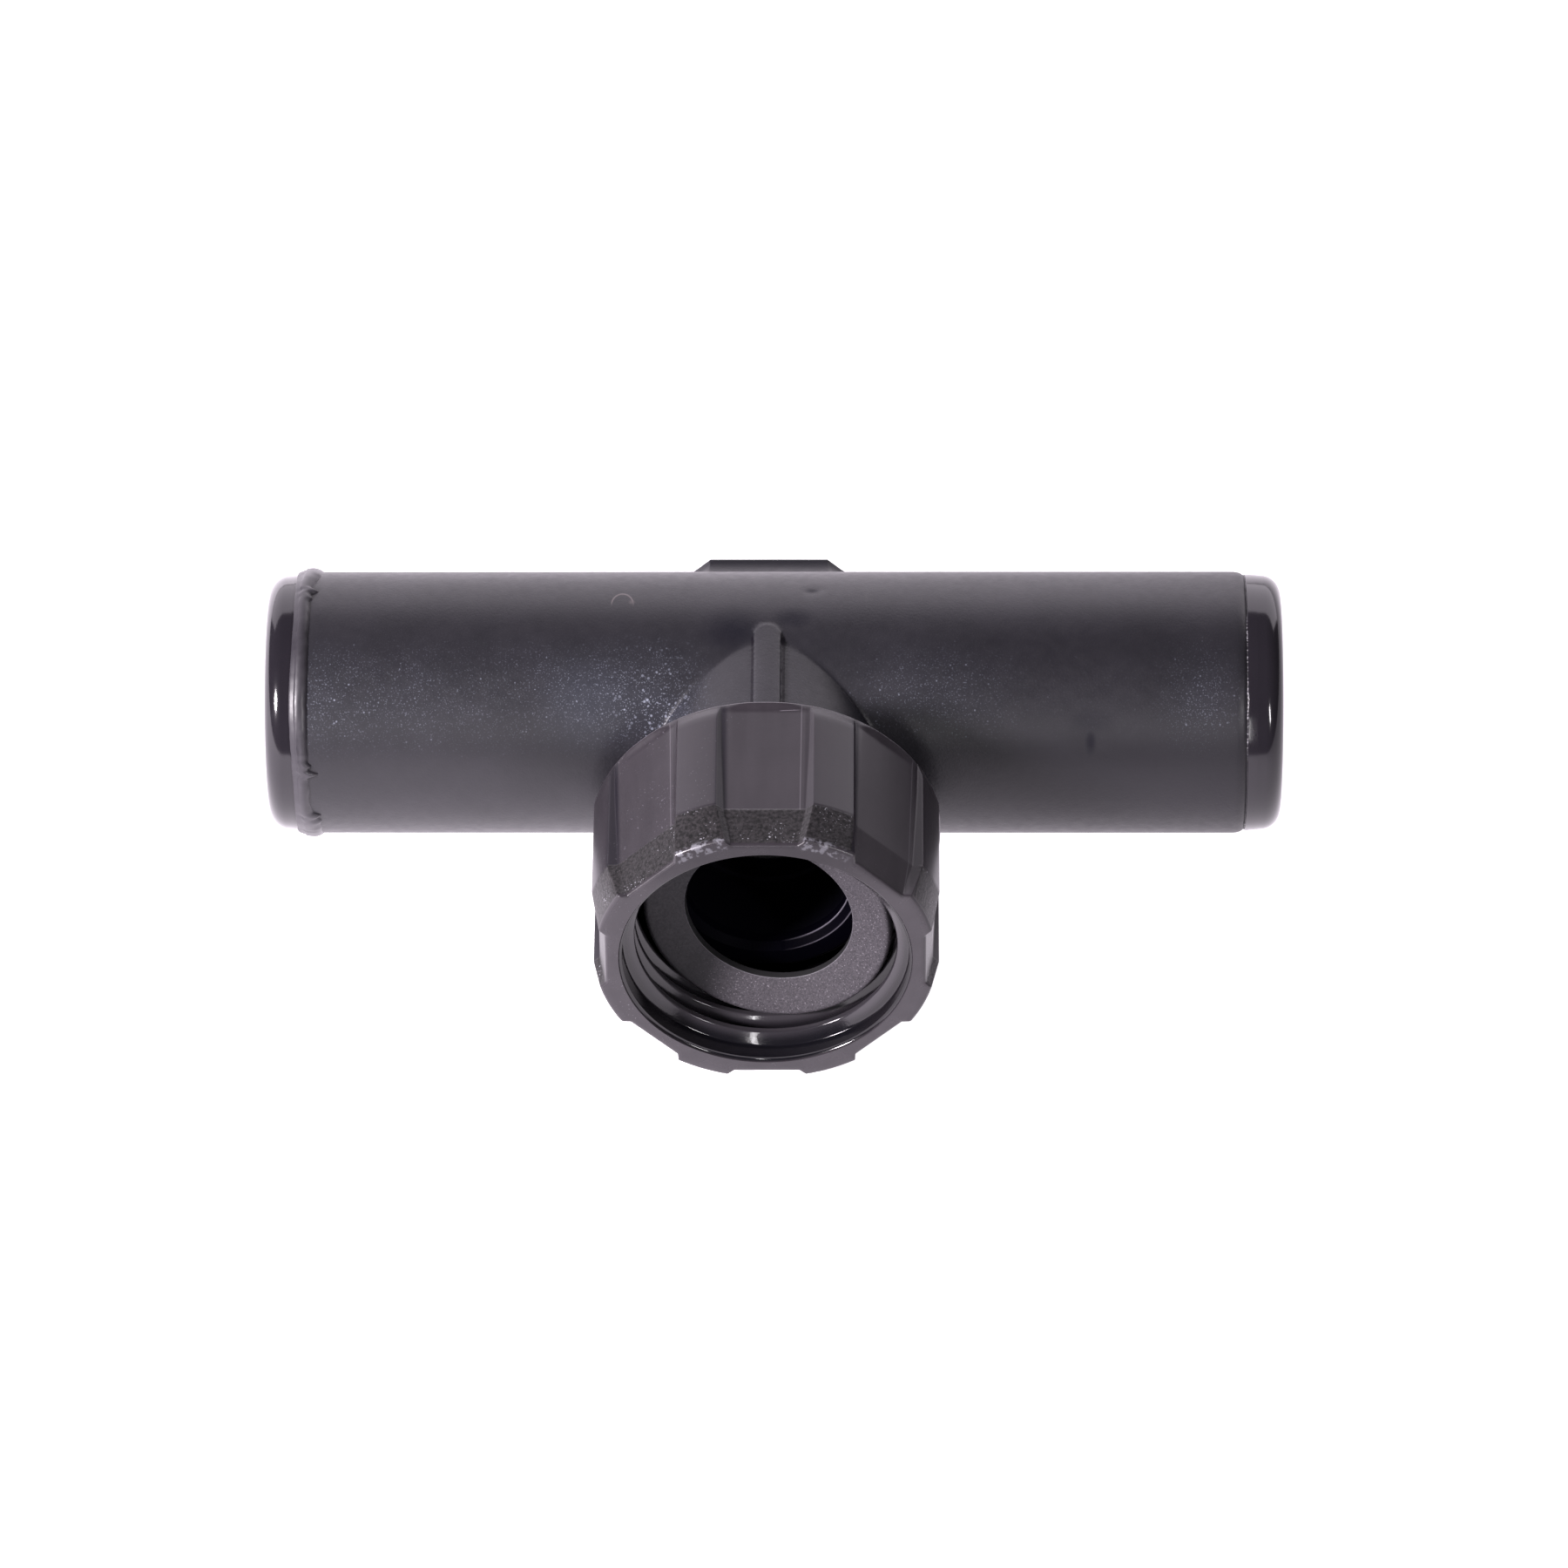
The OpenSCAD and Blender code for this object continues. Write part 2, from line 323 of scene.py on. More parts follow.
def build_tee_body():
    xs = spaced([(-45.6, 0.3), (-44.4, 1.2), (-20.0, 0.8), (-16.4, 0.33), (16.4, 0.8), (20, 1.2), (44.8, 0.25), (46.8, 1)])
    # angle 0 is +Y, a quarter turn is +Z, a half turn is -Y
    ts = spaced([(-42, 1.0), (42, 2.0), (84, 1.2), (100, 0.85), (260, 1.2), (276, 2.0), (318, 1)])[:-1]
    rs = spaced([(6.6, 0.8), (7.4, 2.0), (11.6, 0.32), (21.2, 1)])
    v, f = contour(tee_field, xs, np.radians(ts), rs)
    ob = make_object("tee_body_moulding", v, f.tolist(), 35.0, merge=1e-5)
    # the spud that the nut turns on
    spud = rounded([
        (14.6, 8.9, 0), (14.6, NECK_R, 0), (FLANGE_BACK, NECK_R, 0.3), (FLANGE_BACK, FLANGE_R, 0.25),
        (SPUD_FACE, FLANGE_R, 0.8), (SPUD_FACE, 7.9, 0), (20.0, 7.0, 0)], 5)
    boolean(ob, turned_object("spud", spud * 1.0 / 1, 176, "-y"), "UNION")
    bore = rounded([
        (-60, 0.0, 0), (-60, 10.9, 0), (-35.9, 10.9, 0.2), (-35.9, 9.3, 0.3), (-14, 9.3, 0.3), (-14, 8.3, 0.25),
        (14, 8.3, 0.25), (14, 9.3, 0.3), (RUN_E - 9.1, 9.3, 0.3), (RUN_E - 9.1, 10.9, 0.2), (60, 10.9, 0), (60, 0.0, 0)], 4)
    boolean(ob, turned_object("bore", bore, 176, "x"), "DIFFERENCE")
    port = rounded([
        (0.5, 0.0, 0), (0.5, 5.4, 0), (13, 5.4, 0.3), (14.2, 7.4, 0.3),
        (SPUD_FACE - 0.6, 8.0, 0.1), (SPUD_FACE, 8.75, 0.1), (SPUD_FACE + 1.0, 10.0, 0), (SPUD_FACE + 1.0, 0.0, 0)], 4)
    boolean(ob, turned_object("port", port, 176, "-y"), "DIFFERENCE")
    finish_shading(ob, 35.0)
    return ob


# ---- compression rings and the weld flash ------------------------------


def ring_profile(side):
    """Profile of a compression ring as (distance outward from its weld joint, radius, rounding)."""
    lip, nose = 12.45, 1.9
    arc = [(3.45 - nose * (1 - math.sin(q)), lip - 0.1 - nose * (1 - math.cos(q)), 0)
           for q in [math.pi / 2 * k / 14 for k in range(15)]]
    return [(0.0, 10.88, 0), (0.0, lip, 0.05), (0.9, lip - 0.03, 0.3)] + arc + [
        (3.45, 9.55, 0.5), (0.8, 9.05, 0.3), (-0.4, 8.75, 0.4), (-3.4, 8.75, 0.4), (-4.4, 9.3, 0.2), (-9.0, 9.3, 0.1),
        (-9.0, 10.4, 0.1), (-8.5, 10.88, 0.1)]


def build_ring(name, side):
    prof = rounded(ring_profile(side), 9)
    base = -RUN_L if side < 0 else RUN_E
    prof = np.stack([base + side * prof[:, 0], prof[:, 1]], -1)
    g = turned(prof, 224, "x")
    # hot-plate softening close to the weld: a barely uneven nose
    t = np.arctan2(g[..., 2], g[..., 1])
    near = np.exp(-((np.abs(g[..., 0] - base) / 1.2) ** 2)) * (np.hypot(g[..., 1], g[..., 2]) > 11.5)
    k = 1 + near * (0.0016 if side < 0 else 0.0004) * smooth_noise(t, 5)
    g[..., 1] *= k
    g[..., 2] *= k
    return make_object(name, g.reshape(-1, 3), grid_faces(*g.shape[:2]), 40.0)


def build_left_bead():
    """The bead squeezed out round the left weld, with its ragged inner edge."""
    n, m = 480, 22
    t = np.arange(n) * TAU / n
    deg = np.degrees(t)
    # smooth where it faces up and forward, wrinkled lower down
    rough = 0.12 + 0.75 * np.exp(-(((deg - 158) / 13) ** 2)) + 0.5 * step(deg, 196, 215)
    high = 0.36 + 0.015 * smooth_noise(t, 11) + 0.026 * rough * smooth_noise(t, 12, ((41, 0.5), (67, 0.5), (97, 0.3)))
    front = -45.66 - 0.33 * np.exp(-(((deg - 139) / 26) ** 2)) + 0.02 * smooth_noise(t, 13)
    front = front + 0.03 * rough * smooth_noise(t, 17, ((29, 0.6), (53, 0.5)))
    narrow = step(deg, 58, 82) * (1 - step(deg, 186, 204))
    back = -43.3 - 0.9 * narrow + 0.04 * smooth_noise(t, 14) + 0.025 * smooth_noise(t, 15, ((37, 0.6), (59, 0.5)))
    # torn tags on the inner edge: (angle in degrees, length, half width in degrees); a half turn is the front
    for at, long, wide in ((79, 0.75, 1.8), (84, 0.3, 2.0), (169, 1.0, 1.5), (165, 0.4, 1.5), (195, 0.6, 1.6), (200, 0.3, 2.0), (300, 0.5, 4.0), (20, 0.5, 3.0)):
        d = np.abs((deg - at + 180) % 360 - 180) / wide
        back = back + long * np.exp(-(d**2) * 1.4)
        high = high + 0.03 * np.exp(-(d**2))
    rows = []
    for i in range(m):
        w = i / (m - 1)
        x = front + (back - front) * w
        # a full, rounded roll that leans away from the ring
        hump = math.sin(math.pi * w**1.3) ** 0.8 if 0 < w < 1 else 0.0
        crease = 1 - 0.30 * np.clip(rough - 0.3, 0, 1) * math.exp(-(((w - 0.5) / 0.13) ** 2))
        h = high * hump * crease + (0.03 if 0 < w < 1 else 0.0)
        r = 12.62 + 0.08 * (w > 0.3) + h
        rows.append(np.stack([x, r * np.cos(t), r * np.sin(t)], -1))
    for x, r in ((-43.6, 12.45), (-45.35, 12.2)):
        rows.append(np.stack([np.full(n, x), r * np.cos(t), r * np.sin(t)], -1))
    g = np.array(rows)
    return make_object("left_weld_flash", g.reshape(-1, 3), grid_faces(*g.shape[:2]), 60.0)


def build_right_bead():
    """The hair of flash left in the right weld joint."""
    n, m = 420, 10
    t = np.arange(n) * TAU / n
    high = 0.085 + 0.025 * smooth_noise(t, 21) + 0.02 * smooth_noise(t, 22, ((41, 0.5), (67, 0.5)))
    for at, tall, wide in ((97, 0.07, 3.0), (104, 0.06, 2.0), (170, 0.05, 3.0), (207, 0.12, 2.4), (212, 0.08, 2.0), (262, 0.06, 3.0)):
        d = np.abs((np.degrees(t) - at + 180) % 360 - 180) / wide
        high = high + tall * np.exp(-(d**2) * 1.4)
    rows = []
    for i in range(m):
        a = math.pi * i / (m - 1)
        x = 46.2 - (0.12 + 0.3 * (high - 0.085)) * math.cos(a)
        r = 12.0 + (high + 0.29) * math.sin(a) ** 0.6
        rows.append(np.stack([x, r * np.cos(t), r * np.sin(t)], -1))
    g = np.array(rows)
    return make_object("right_weld_flash", g.reshape(-1, 3), grid_faces(*g.shape[:2]), 60.0)


# ---- swivel nut -------------------------------------------------------


def bend(d, knots, soft=0.1):
    """A polyline through knots, with each corner rounded over +-soft."""
    xs = [k[0] for k in knots]
    ys = [k[1] for k in knots]
    w = [-1, -0.66, -0.33, 0, 0.33, 0.66, 1]
    return sum(np.interp(d + soft * q, xs, ys) for q in w) / len(w)


def nut_section(d):
    """Points of the nut's outline at depth d, the same number for every d, starting at angle 0."""
    a = bend(d, [(16, 16.82), (NUT_BACK, 16.78), (18.0, 16.3), (31.1, 15.85), (NUT_FRONT, 15.2), (37, 14.9)])
    top = bend(d, [(16, 16.75), (17.5, 16.76), (18.6, 17.1), (19.2, 17.15), (30.8, 17.15), (NUT_FRONT, 16.2), (37, 15.8)])
    circle = 16.73
    edge = 0.0
    if d < NUT_BACK + 0.3:
        q = 1 - (d - NUT_BACK) / 0.3
        edge = 0.3 * (1 - math.sqrt(max(0.0, 1 - q * q)))
    if d > NUT_FRONT - 0.3:
        q = 1 - (NUT_FRONT - d) / 0.3
        edge = 0.3 * (1 - math.sqrt(max(0.0, 1 - q * q)))
    rib_at = math.pi / 8

    def skin(b):
        u, v = a / math.cos(b), circle
        h = max(0.12 - abs(u - v), 0) / 0.12
        return min(u, v) - h * h * 0.03

    def wall(r):
        # the rib's side at radial distance r, as an angle from the flat's middle and a radius
        half = 3.32 - 0.479 * (r - 14.4)
        return rib_at - math.atan2(half, r), math.hypot(r, half)

    lo, hi = 14.4, 18.0
    for _ in range(40):
        mid = (lo + hi) / 2
        b, r = wall(mid)
        lo, hi = (mid, hi) if r < skin(b) else (lo, mid)
    foot_b, foot_r = wall((lo + hi) / 2)
    top = max(top, foot_r + 0.012)
    lo2, hi2 = (lo + hi) / 2, 19.0
    for _ in range(40):
        mid = (lo2 + hi2) / 2
        b, r = wall(mid)
        lo2, hi2 = (mid, hi2) if r < top else (lo2, mid)
    top_b, _ = wall((lo2 + hi2) / 2)

    def pt(b, r):
        return (r * math.cos(b), r * math.sin(b))

    near_b = foot_b * 0.9
    top_in = top_b + (rib_at - top_b) * 0.55
    corners = rounded([
        (*pt(near_b, skin(near_b)), 0), (*pt(foot_b, foot_r), 0.3), (*pt(top_b, top), 0.2), (*pt(top_in, top), 0)],
        4, closed=False)[1:-1]
    b0 = math.atan2(corners[0][1], corners[0][0])
    half = [pt(b0 * i / 9, skin(b0 * i / 9)) for i in range(9)] + [tuple(c) for c in corners]
    b1 = math.atan2(corners[-1][1], corners[-1][0])
    half += [pt(b1 + (rib_at - b1) * w, top) for w in (0.25, 0.5, 0.75)]
    half = np.array(half)
    # mirrored across the rib's middle
    c, s = math.cos(2 * rib_at), math.sin(2 * rib_at)
    mirror = np.array([[c, s], [s, -c]])
    mid = np.array([pt(rib_at, top)])
    other = (half[1:] @ mirror.T)[::-1]
    octant = np.concatenate([half, mid, other])
    out = []
    for k in range(8):
        c, s = math.cos(math.pi / 4 * k), math.sin(math.pi / 4 * k)
        out.append(octant @ np.array([[c, s], [-s, c]]))
    p = np.concatenate(out)
    r = np.linalg.norm(p, axis=1, keepdims=True)
    return p * (r - edge) / r


def build_nut():
    depths = spaced([
        (NUT_BACK, 0.05), (NUT_BACK + 0.3, 0.1), (17.7, 0.25), (19.4, 1.6), (30.4, 0.1), (31.4, 0.7), (34.7, 0.1),
        (34.9, 0.05), (NUT_FRONT, 1)])
    rows = [np.column_stack([s[:, 0], np.full(len(s), -d), s[:, 1]]) for d in depths for s in [nut_section(d)]]
    outer = np.array(rows)
    n = outer.shape[1]
    ang = np.unwrap(np.arctan2(outer[-1][:, 2], outer[-1][:, 0]))
    ang -= ang[0]

    def circle(d, r):
        return np.stack([r * np.cos(ang), np.full(n, -float(d)), r * np.sin(ang)], -1)

    front = outer[-1]
    mouth_r, wall_end, floor_end = 13.98, 34.86, 20.0
    mouth = circle(NUT_FRONT, mouth_r)
    more = [front + (mouth - front) * w for w in (0.3, 0.6, 0.85)] + [mouth]
    for k in range(1, 5):
        q = math.pi / 2 * k / 4
        more.append(circle(NUT_FRONT - 0.34 * math.sin(q) * 1.0, mouth_r - 0.33 * (1 - math.cos(q)) - 0.0))
    more[-1] = circle(wall_end, MAJOR_R)
    a = np.concatenate([outer, np.array(more)])
    verts = [a.reshape(-1, 3)]
    faces = grid_faces(a.shape[0], n, close_rows=False)
    base = a.shape[0] * n

    # the helical thread, on rows that follow the helix
    half = PITCH / 2
    offs = [-half, -0.98, -0.93, -0.88, -0.8, -0.68, -0.56, -0.44, -0.37, -0.33, -0.29, -0.24, -0.16, 0,
            0.16, 0.24, 0.29, 0.33, 0.37, 0.44, 0.56, 0.68, 0.8, 0.88, 0.93, 0.98]
    per = len(offs)
    k_hi = int(math.ceil((wall_end - CREST_AT) / PITCH + 0.5)) + 1
    k_lo = -int(math.ceil((CREST_AT - floor_end) / PITCH + 0.5)) - 2
    srow = np.array([CREST_AT + k * PITCH + o for k in range(k_lo, k_hi + 1) for o in offs])
    turn = np.array([k for k in range(k_lo, k_hi + 1) for _ in offs], float)
    off = np.array([o for _ in range(k_lo, k_hi + 1) for o in offs])
    ramp = np.interp(np.abs(off), [0.0, 0.25, 0.31, 0.37, 0.9, 0.96, 1.02], [1, 1, 0.965, 0.87, 0.07, 0.012, 0])
    d = srow[:, None] + PITCH * ang[None, :] / TAU
    phi = ang[None, :] + TAU * turn[:, None]
    fade = step(phi, math.radians(118), math.radians(66)) if False else 1 - step(phi, math.radians(62), math.radians(112))
    fade = fade * step(phi, -3.35 * TAU, -3.1 * TAU)
    r = MAJOR_R - (MAJOR_R - MINOR_R) * ramp[:, None] * fade
    dc = np.clip(d, floor_end, wall_end)
    r = np.where((d <= floor_end) | (d >= wall_end), MAJOR_R, r)
    g = np.stack([r * np.cos(ang)[None], -dc, r * np.sin(ang)[None]], -1)
    m = g.shape[0]
    idx = np.arange(m * n).reshape(m, n) + base
    seam = idx[np.minimum(np.arange(m) + per, m - 1), 0]
    full = np.concatenate([idx, seam[:, None]], 1)
    f = np.stack([full[:-1, :-1], full[:-1, 1:], full[1:, 1:], full[1:, :-1]], -1).reshape(-1, 4)
    dz = g.reshape(-1, 3)
    # drop quads that the clamping has flattened
    q = f - base
    flat = (np.abs(dz[q, 1] - floor_end * -1).max(1) < 1e-9) | (np.abs(dz[q, 1] + wall_end).max(1) < 1e-9)
    faces += f[~flat].tolist()
    verts.append(dz)
    base += m * n

    # the lip and the back
    lip = rounded([
        (floor_end, MAJOR_R, 0), (19.6, MAJOR_R, 0.35), (19.6, 10.25, 0.3), (NUT_BACK, 10.25, 0.35),
        (NUT_BACK, 12.0, 0)], 4, closed=False)
    lip[-1] = (NUT_BACK, 12.0)
    rows = [circle(p[0], p[1]) for p in lip]
    back = outer[0]
    start = rows[-1]
    rows += [start + (back - start) * w for w in (0.4, 0.8, 1.0)]
    c = np.array(rows)
    verts.append(c.reshape(-1, 3))
    faces += [[i + base for i in q] for q in grid_faces(c.shape[0], n, close_rows=False)]
    return make_object("swivel_nut_moulding", np.concatenate(verts), faces, 42.0)


# ---- hose washer ------------------------------------------------------


def build_washer():
    o, i, t, cup = 12.0, 8.1, 2.4, 1.2
    # the front face is cupped; the hole is narrowest a little way in and opens towards the back
    prof = rounded([
        (-cup, i + 0.04, 0.14), (-0.02, o, 0.4), (-t, o, 0.35), (-t, i + 0.45, 0.12), (-cup - 0.82, i + 0.25, 0.06),
        (-cup - 0.78, i, 0.05)], 7)
    # a few rows across the flat faces, so that they can be a little uneven
    dense = []
    for a, b in zip(prof, np.roll(prof, -1, 0)):
        k = max(1, int(np.linalg.norm(b - a) / 0.45))
        dense += [a + (b - a) * w / k for w in range(k)]
    g = turned(np.array(dense), 200, "-y")
    ang = np.arctan2(g[..., 2], g[..., 0])
    r = np.hypot(g[..., 0], g[..., 2])
    wave = 0.05 * np.sin(2 * ang + 0.6) + 0.03 * np.sin(3 * ang + 2.0)
    g[..., 1] += wave * (r - 10.0) / 4.0 * 0.8
    k = 1 + 0.0022 * smooth_noise(ang, 31, ((2, 0.6), (5, 0.5), (9, 0.3))) * (r < 8.9)
    g[..., 0] *= k
    g[..., 2] *= k
    ob = make_object("hose_washer_rubber", g.reshape(-1, 3), grid_faces(*g.shape[:2]), 50.0)
    ob.data.transform(Matrix.Translation((0, -30.0 * MM, 0)) @ Matrix.Rotation(math.radians(-10.2), 4, "Z")
        @ Matrix.Rotation(math.radians(-4.4), 4, "X"))
    return ob


# ---- materials --------------------------------------------------------


class Nodes:
    """A small builder for a material's node tree."""

    def __init__(self, name):
        self.mat = bpy.data.materials.new(name)
        self.mat.use_nodes = True
        self.t = self.mat.node_tree
        self.t.nodes.clear()
        self.out = self.t.nodes.new("ShaderNodeOutputMaterial")
        self.bsdf = self.t.nodes.new("ShaderNodeBsdfPrincipled")
        self.t.links.new(self.bsdf.outputs[0], self.out.inputs["Surface"])
        self.obj = self.t.nodes.new("ShaderNodeTexCoord").outputs["Object"]

    def link(self, a, b):
        self.t.links.new(a, b)

    def put(self, socket, v):
        if isinstance(v, bpy.types.NodeSocket):
            self.link(v, socket)
        else:
            socket.default_value = v

    def noise(self, scale, detail=3.0, rough=0.5, vec=None, dist=0.0):
        n = self.t.nodes.new("ShaderNodeTexNoise")
        n.inputs["Scale"].default_value = scale
        n.inputs["Detail"].default_value = detail
        n.inputs["Roughness"].default_value = rough
        n.inputs["Distortion"].default_value = dist
        self.link(vec or self.obj, n.inputs["Vector"])
        return n.outputs["Fac"]

    def voronoi(self, scale, vec=None, out="Distance", rnd=1.0):
        n = self.t.nodes.new("ShaderNodeTexVoronoi")
        n.inputs["Scale"].default_value = scale
        n.inputs["Randomness"].default_value = rnd
        self.link(vec or self.obj, n.inputs["Vector"])
        return n.outputs[out]

    def math(self, op, a, b=0.0, clamp=False):
        n = self.t.nodes.new("ShaderNodeMath")
        n.operation = op
        n.use_clamp = clamp
        self.put(n.inputs[0], a)
        self.put(n.inputs[1], b)
        return n.outputs[0]

    def ramp(self, v, a, b, lo=0.0, hi=1.0, smooth=True):
        n = self.t.nodes.new("ShaderNodeMapRange")
        n.interpolation_type = "SMOOTHSTEP" if smooth else "LINEAR"
        self.put(n.inputs["Value"], v)
        self.put(n.inputs["From Min"], a)
        self.put(n.inputs["From Max"], b)
        self.put(n.inputs["To Min"], lo)
        self.put(n.inputs["To Max"], hi)
        return n.outputs["Result"]

    def xyz(self, vec=None):
        n = self.t.nodes.new("ShaderNodeSeparateXYZ")
        self.link(vec or self.obj, n.inputs[0])
        return n.outputs

    def normal(self):
        return self.xyz(self.t.nodes.new("ShaderNodeTexCoord").outputs["Normal"])

    def mix(self, f, a, b):
        n = self.t.nodes.new("ShaderNodeMix")
        n.data_type = "RGBA"
        self.put(n.inputs["Factor"], f)
        self.put(n.inputs["A"], a)
        self.put(n.inputs["B"], b)
        return n.outputs["Result"]

    def bump(self, height, strength, distance, normal=None):
        n = self.t.nodes.new("ShaderNodeBump")
        n.inputs["Strength"].default_value = strength
        n.inputs["Distance"].default_value = distance
        self.link(height, n.inputs["Height"])
        if normal is not None:
            self.link(normal, n.inputs["Normal"])
        return n.outputs["Normal"]

    def stretched(self, sx, sy, sz):
        n = self.t.nodes.new("ShaderNodeMapping")
        n.inputs["Scale"].default_value = (sx, sy, sz)
        self.link(self.obj, n.inputs["Vector"])
        return n.outputs["Vector"]


def grey(r, g, b):
    return (r, g, b, 1.0)


def body_material():
    """Spark-textured black polypropylene; pale specks along the upper front of the run are painted glints, and several
    darker places are painted shade.
    """
    m = Nodes("body_black_plastic")
    x, y, z = m.xyz()[0:3]
    fine = m.noise(3600, 2.0, 0.6)
    mid = m.noise(1100, 2.0, 0.5)
    cloud = m.noise(140, 3.0, 0.6)
    patch = m.noise(45, 2.0, 0.5)
    slant = m.math("SUBTRACT", m.math("MULTIPLY", z, 0.70), m.math("MULTIPLY", y, 0.71))
    off = m.math("ADD", m.math("MULTIPLY", z, 0.715), m.math("MULTIPLY", y, 0.70))

    def bell(v, at, wide):
        d = m.math("ABSOLUTE", m.math("SUBTRACT", v, at))
        return m.ramp(d, wide, 0.0)

    # painted glints: pale specks of the spark texture lie in a band along the upper front of the run, where they catch
    # the light, thick on the left and in two patches on the right
    band = m.math("MULTIPLY", bell(off, 0.0004, 0.0068), m.ramp(slant, 0.006, 0.010))
    left = m.ramp(x, -0.004, -0.009)
    right = m.math("ADD", m.math("MULTIPLY", bell(x, 0.016, 0.011), 0.45), m.math("MULTIPLY", bell(x, 0.0415, 0.005), 0.6))
    along = m.math("ADD", m.math("MULTIPLY", left, m.math("ADD", 0.55, m.math("MULTIPLY", bell(x, -0.012, 0.012), 0.6))), m.math("ADD", right, 0.06))
    clump = m.ramp(m.math("ADD", m.math("MULTIPLY", cloud, 0.6), m.math("MULTIPLY", patch, 0.4)), 0.38, 0.58)
    field = m.math("MULTIPLY", m.math("MULTIPLY", band, along), m.math("ADD", m.math("MULTIPLY", clump, 0.6), 0.4))
    tiny = m.ramp(m.noise(7200, 1.0, 0.5), 0.60, 0.72)
    dot = m.ramp(m.voronoi(2100), 0.24, 0.12)
    rare = m.ramp(m.noise(1300, 1.0, 0.5), 0.59, 0.66)
    dots = m.math("MAXIMUM", m.math("MULTIPLY", tiny, 0.5), m.math("MULTIPLY", dot, rare))
    # larger painted glints next to the shoulder
    big = m.math("MULTIPLY", m.ramp(m.voronoi(1900), 0.34, 0.16), m.ramp(m.noise(1000, 1.0, 0.5), 0.49, 0.57))
    dots = m.math("MAXIMUM", dots, m.math("MULTIPLY", m.math("MULTIPLY", big, bell(x, -0.0105, 0.0075)), 0.62))
    f = m.math("MULTIPLY", dots, field, clamp=True)
    base = m.mix(m.ramp(cloud, 0.3, 0.7), grey(0.0135, 0.013, 0.0165), grey(0.0185, 0.0175, 0.022))
    # painted sheen: the band of glints and a spot on the left are lighter
    glint_sheen = m.math("MULTIPLY", field, 0.20)
    glint_sheen = m.math("ADD", glint_sheen, m.math("MULTIPLY", m.math("MULTIPLY", bell(x, -0.0175, 0.006), bell(off, -0.0002, 0.006)), 0.22))
    col = m.mix(glint_sheen, base, grey(0.050, 0.058, 0.080))
    # the painted glints themselves
    col = m.mix(f, col, grey(0.40, 0.43, 0.52))

    def spot(at_x, at_off, rx, ro):
        dx = m.math("DIVIDE", m.math("SUBTRACT", x, at_x), rx)
        do = m.math("DIVIDE", m.math("SUBTRACT", off, at_off), ro)
        d = m.math("SQRT", m.math("ADD", m.math("MULTIPLY", dx, dx), m.math("MULTIPLY", do, do)))
        return m.math("MULTIPLY", m.ramp(d, 1.0, 0.1), m.ramp(slant, 0.0, 0.002))

    # the run is a little darker on both sides of the rib's end
    dull = m.math("MAXIMUM", spot(-0.0034, 0.0069, 0.0042, 0.0030), spot(0.0025, 0.0081, 0.0027, 0.0013))
    col = m.mix(m.math("MULTIPLY", dull, 0.6), col, grey(0.004, 0.004, 0.009))
    # painted shade: the right half of the run, in the nut's shadow, is darker, most of all along its lower front
    right_shade = m.math("MULTIPLY", m.ramp(x, 0.006, 0.022), m.math("ADD", 0.26, m.math("MULTIPLY", m.ramp(off, -0.001, -0.006), 0.26)))
    right_shade = m.math("MULTIPLY", right_shade, m.ramp(off, 0.0085, 0.0055))
    right_shade = m.math("MULTIPLY", right_shade, m.ramp(m.math("ADD", m.math("MULTIPLY", cloud, 0.5), m.math("MULTIPLY", patch, 0.5)), 0.30, 0.62, 0.75, 1.15))
    col = m.mix(right_shade, col, grey(0.0045, 0.0038, 0.0062))
    # darker spots over the small dent on top and over the dent on the lower right
    low_right_spot = m.math("MULTIPLY", m.math("MAXIMUM", spot(0.0311, -0.0039, 0.0007, 0.0016), m.math("MULTIPLY", spot(0.0311, -0.0020, 0.0030, 0.0016), 0.45)), 0.55)
    dent = m.math("MAXIMUM", m.math("MULTIPLY", spot(0.0043, 0.0107, 0.0010, 0.00035), 0.75), low_right_spot)
    col = m.mix(dent, col, grey(0.004, 0.004, 0.009))
    # painted shade: the branch's shoulder darkens to the right, away from the light, and the rib's two grooves are
    # darkened
    br_rad = m.math("SQRT", m.math("ADD", m.math("MULTIPLY", x, x), m.math("MULTIPLY", z, z)))
    front = m.ramp(y, -0.0027, -0.0031)
    on_branch = m.math("MULTIPLY", m.math("MULTIPLY", m.ramp(br_rad, 0.01225, 0.01212), m.ramp(br_rad, 0.0112, 0.0114)), front)
    col = m.mix(m.math("MULTIPLY", m.math("MULTIPLY", on_branch, m.ramp(x, 0.0016, 0.0085)), 0.42), col, grey(0.004, 0.004, 0.007))
    slot_r = m.ramp(m.math("ABSOLUTE", m.math("SUBTRACT", x, 0.00154)), 0.00025, 0.00016)
    slot_l = m.math("MULTIPLY", m.ramp(m.math("ABSOLUTE", m.math("ADD", x, 0.00142)), 0.00016, 0.00006), 0.8)
    rib_groove_shade = m.math("MULTIPLY", m.math("MULTIPLY", m.math("MAXIMUM", slot_r, slot_l), m.ramp(y, -0.0033, -0.0038)), m.ramp(br_rad, 0.0124, 0.01225))
    col = m.mix(m.math("MULTIPLY", rib_groove_shade, 0.75), col, grey(0.005, 0.003, 0.008))
    # painted shade: the back boss is darker and less shiny towards its outer face
    boss_shade = m.math("MULTIPLY", m.ramp(y, 0.0094, 0.0134), m.ramp(m.math("ABSOLUTE", x), 0.0095, 0.0088))
    col = m.mix(m.math("MULTIPLY", boss_shade, 0.85), col, grey(0.004, 0.004, 0.008))
